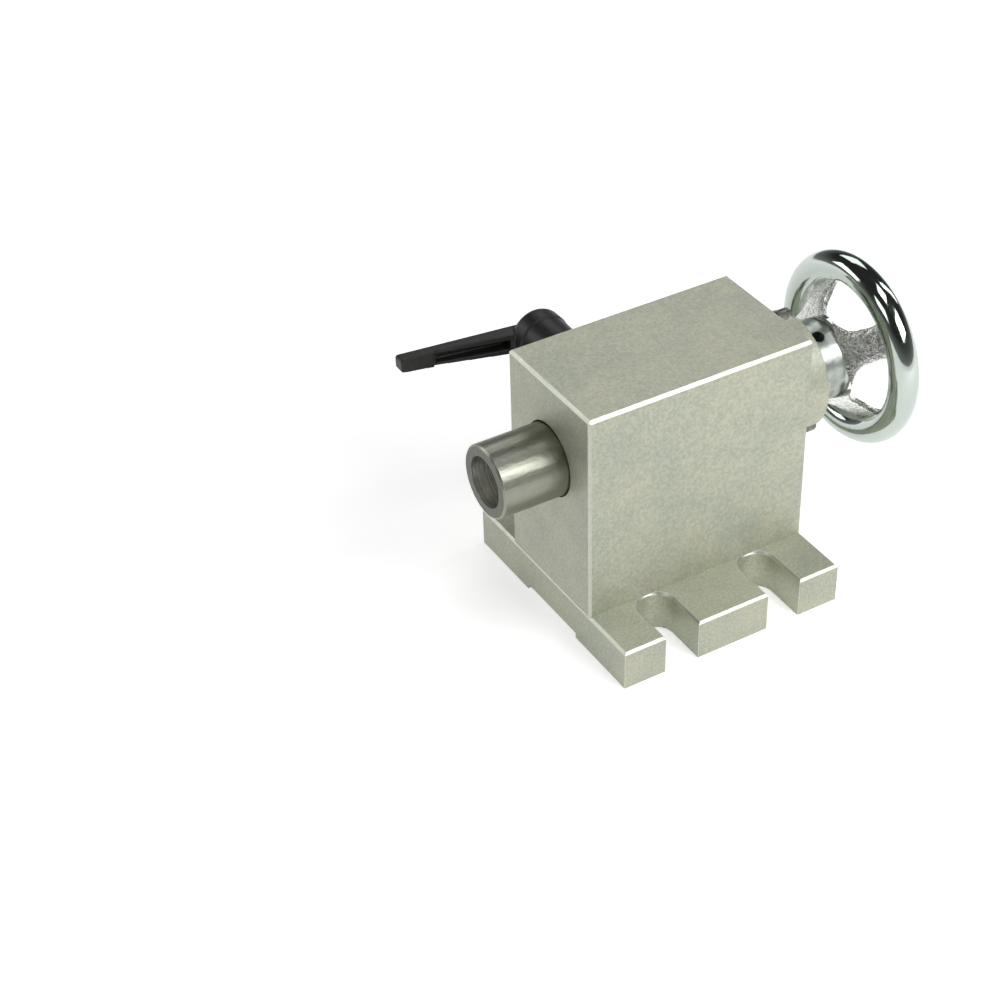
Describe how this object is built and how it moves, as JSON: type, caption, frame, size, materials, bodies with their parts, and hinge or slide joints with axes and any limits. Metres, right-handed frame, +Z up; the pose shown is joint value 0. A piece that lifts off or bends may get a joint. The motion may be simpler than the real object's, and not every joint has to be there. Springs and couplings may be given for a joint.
{
  "type": "lathe tailstock",
  "caption": "Block tailstock on a slotted base plate, with a screw-driven quill with a taper socket, a dished handwheel at the back and a side clamp lever.",
  "frame": {"origin": "middle of the underside of the base plate, below the quill axis", "axes": "+X along the quill from its nose to the handwheel, +Y across the base towards the clamp lever, +Z up from the table"},
  "size_m": [0.1507, 0.1232, 0.0998],
  "materials": {
    "blasted_nickel": "matte, bead-blasted nickel plate",
    "ground_steel": "ground and turned bright steel",
    "black_steel": "black-oxide steel",
    "chrome": "chrome plate on a casting",
    "bronze": "turned bronze",
    "spring_steel": "bright wire",
    "black_plastic": "satin moulded black plastic"
  },
  "bodies": {
    "tailstock": {"base_plate": "blasted_nickel", "base_screws": "black_steel", "body_block": "blasted_nickel", "guide_screw": "black_steel", "rear_cap": "blasted_nickel", "cap_screws": "black_steel", "screw_bushing": "bronze", "thrust_washer": "ground_steel", "hub_washer": "ground_steel"},
    "screw": {"lead_screw": "ground_steel", "wheel_key": "ground_steel", "handwheel": "chrome", "wheel_set_screw": "black_steel"},
    "quill": {"quill": "ground_steel", "quill_nut": "bronze", "nut_set_screw": "black_steel"},
    "pad": {"clamp_pad": "bronze"},
    "clamp": {"lever_insert": "black_steel", "lever_screw": "black_steel", "lever_spring": "spring_steel"},
    "lever": {"lever_handle": "black_plastic"}
  },
  "joints": [
    {"name": "handwheel_turn", "type": "hinge", "parent": "tailstock", "child": "screw", "pos_m": [0.0555, 0, 0.065], "axis": [-1, 0, 0], "range_deg": [-1080, 3960]},
    {"name": "quill_travel", "type": "slide", "parent": "tailstock", "child": "quill", "axis": [-1, 0, 0], "range_m": [-0.006, 0.022]},
    {"name": "clamp_advance", "type": "slide", "parent": "tailstock", "child": "pad", "axis": [0, -1, 0], "range_m": [-0.000313, 0.000209]},
    {"name": "clamp_turn", "type": "hinge", "parent": "tailstock", "child": "clamp", "pos_m": [-0.008, 0.0245, 0.065], "axis": [0, -1, 0], "range_deg": [-90, 60]},
    {"name": "lever_lift", "type": "slide", "parent": "clamp", "child": "lever", "axis": [0, 1, 0], "range_m": [0, 0.0054], "stiffness_N_per_m": 800, "springref_m": -0.003, "deforming": ["lever_spring"]}
  ],
  "couplings": [
    {"joint": "quill_travel", "follows": "handwheel_turn", "m_per_rad": 0.0003183},
    {"joint": "clamp_advance", "follows": "clamp_turn", "m_per_rad": 0.00019894}
  ]
}
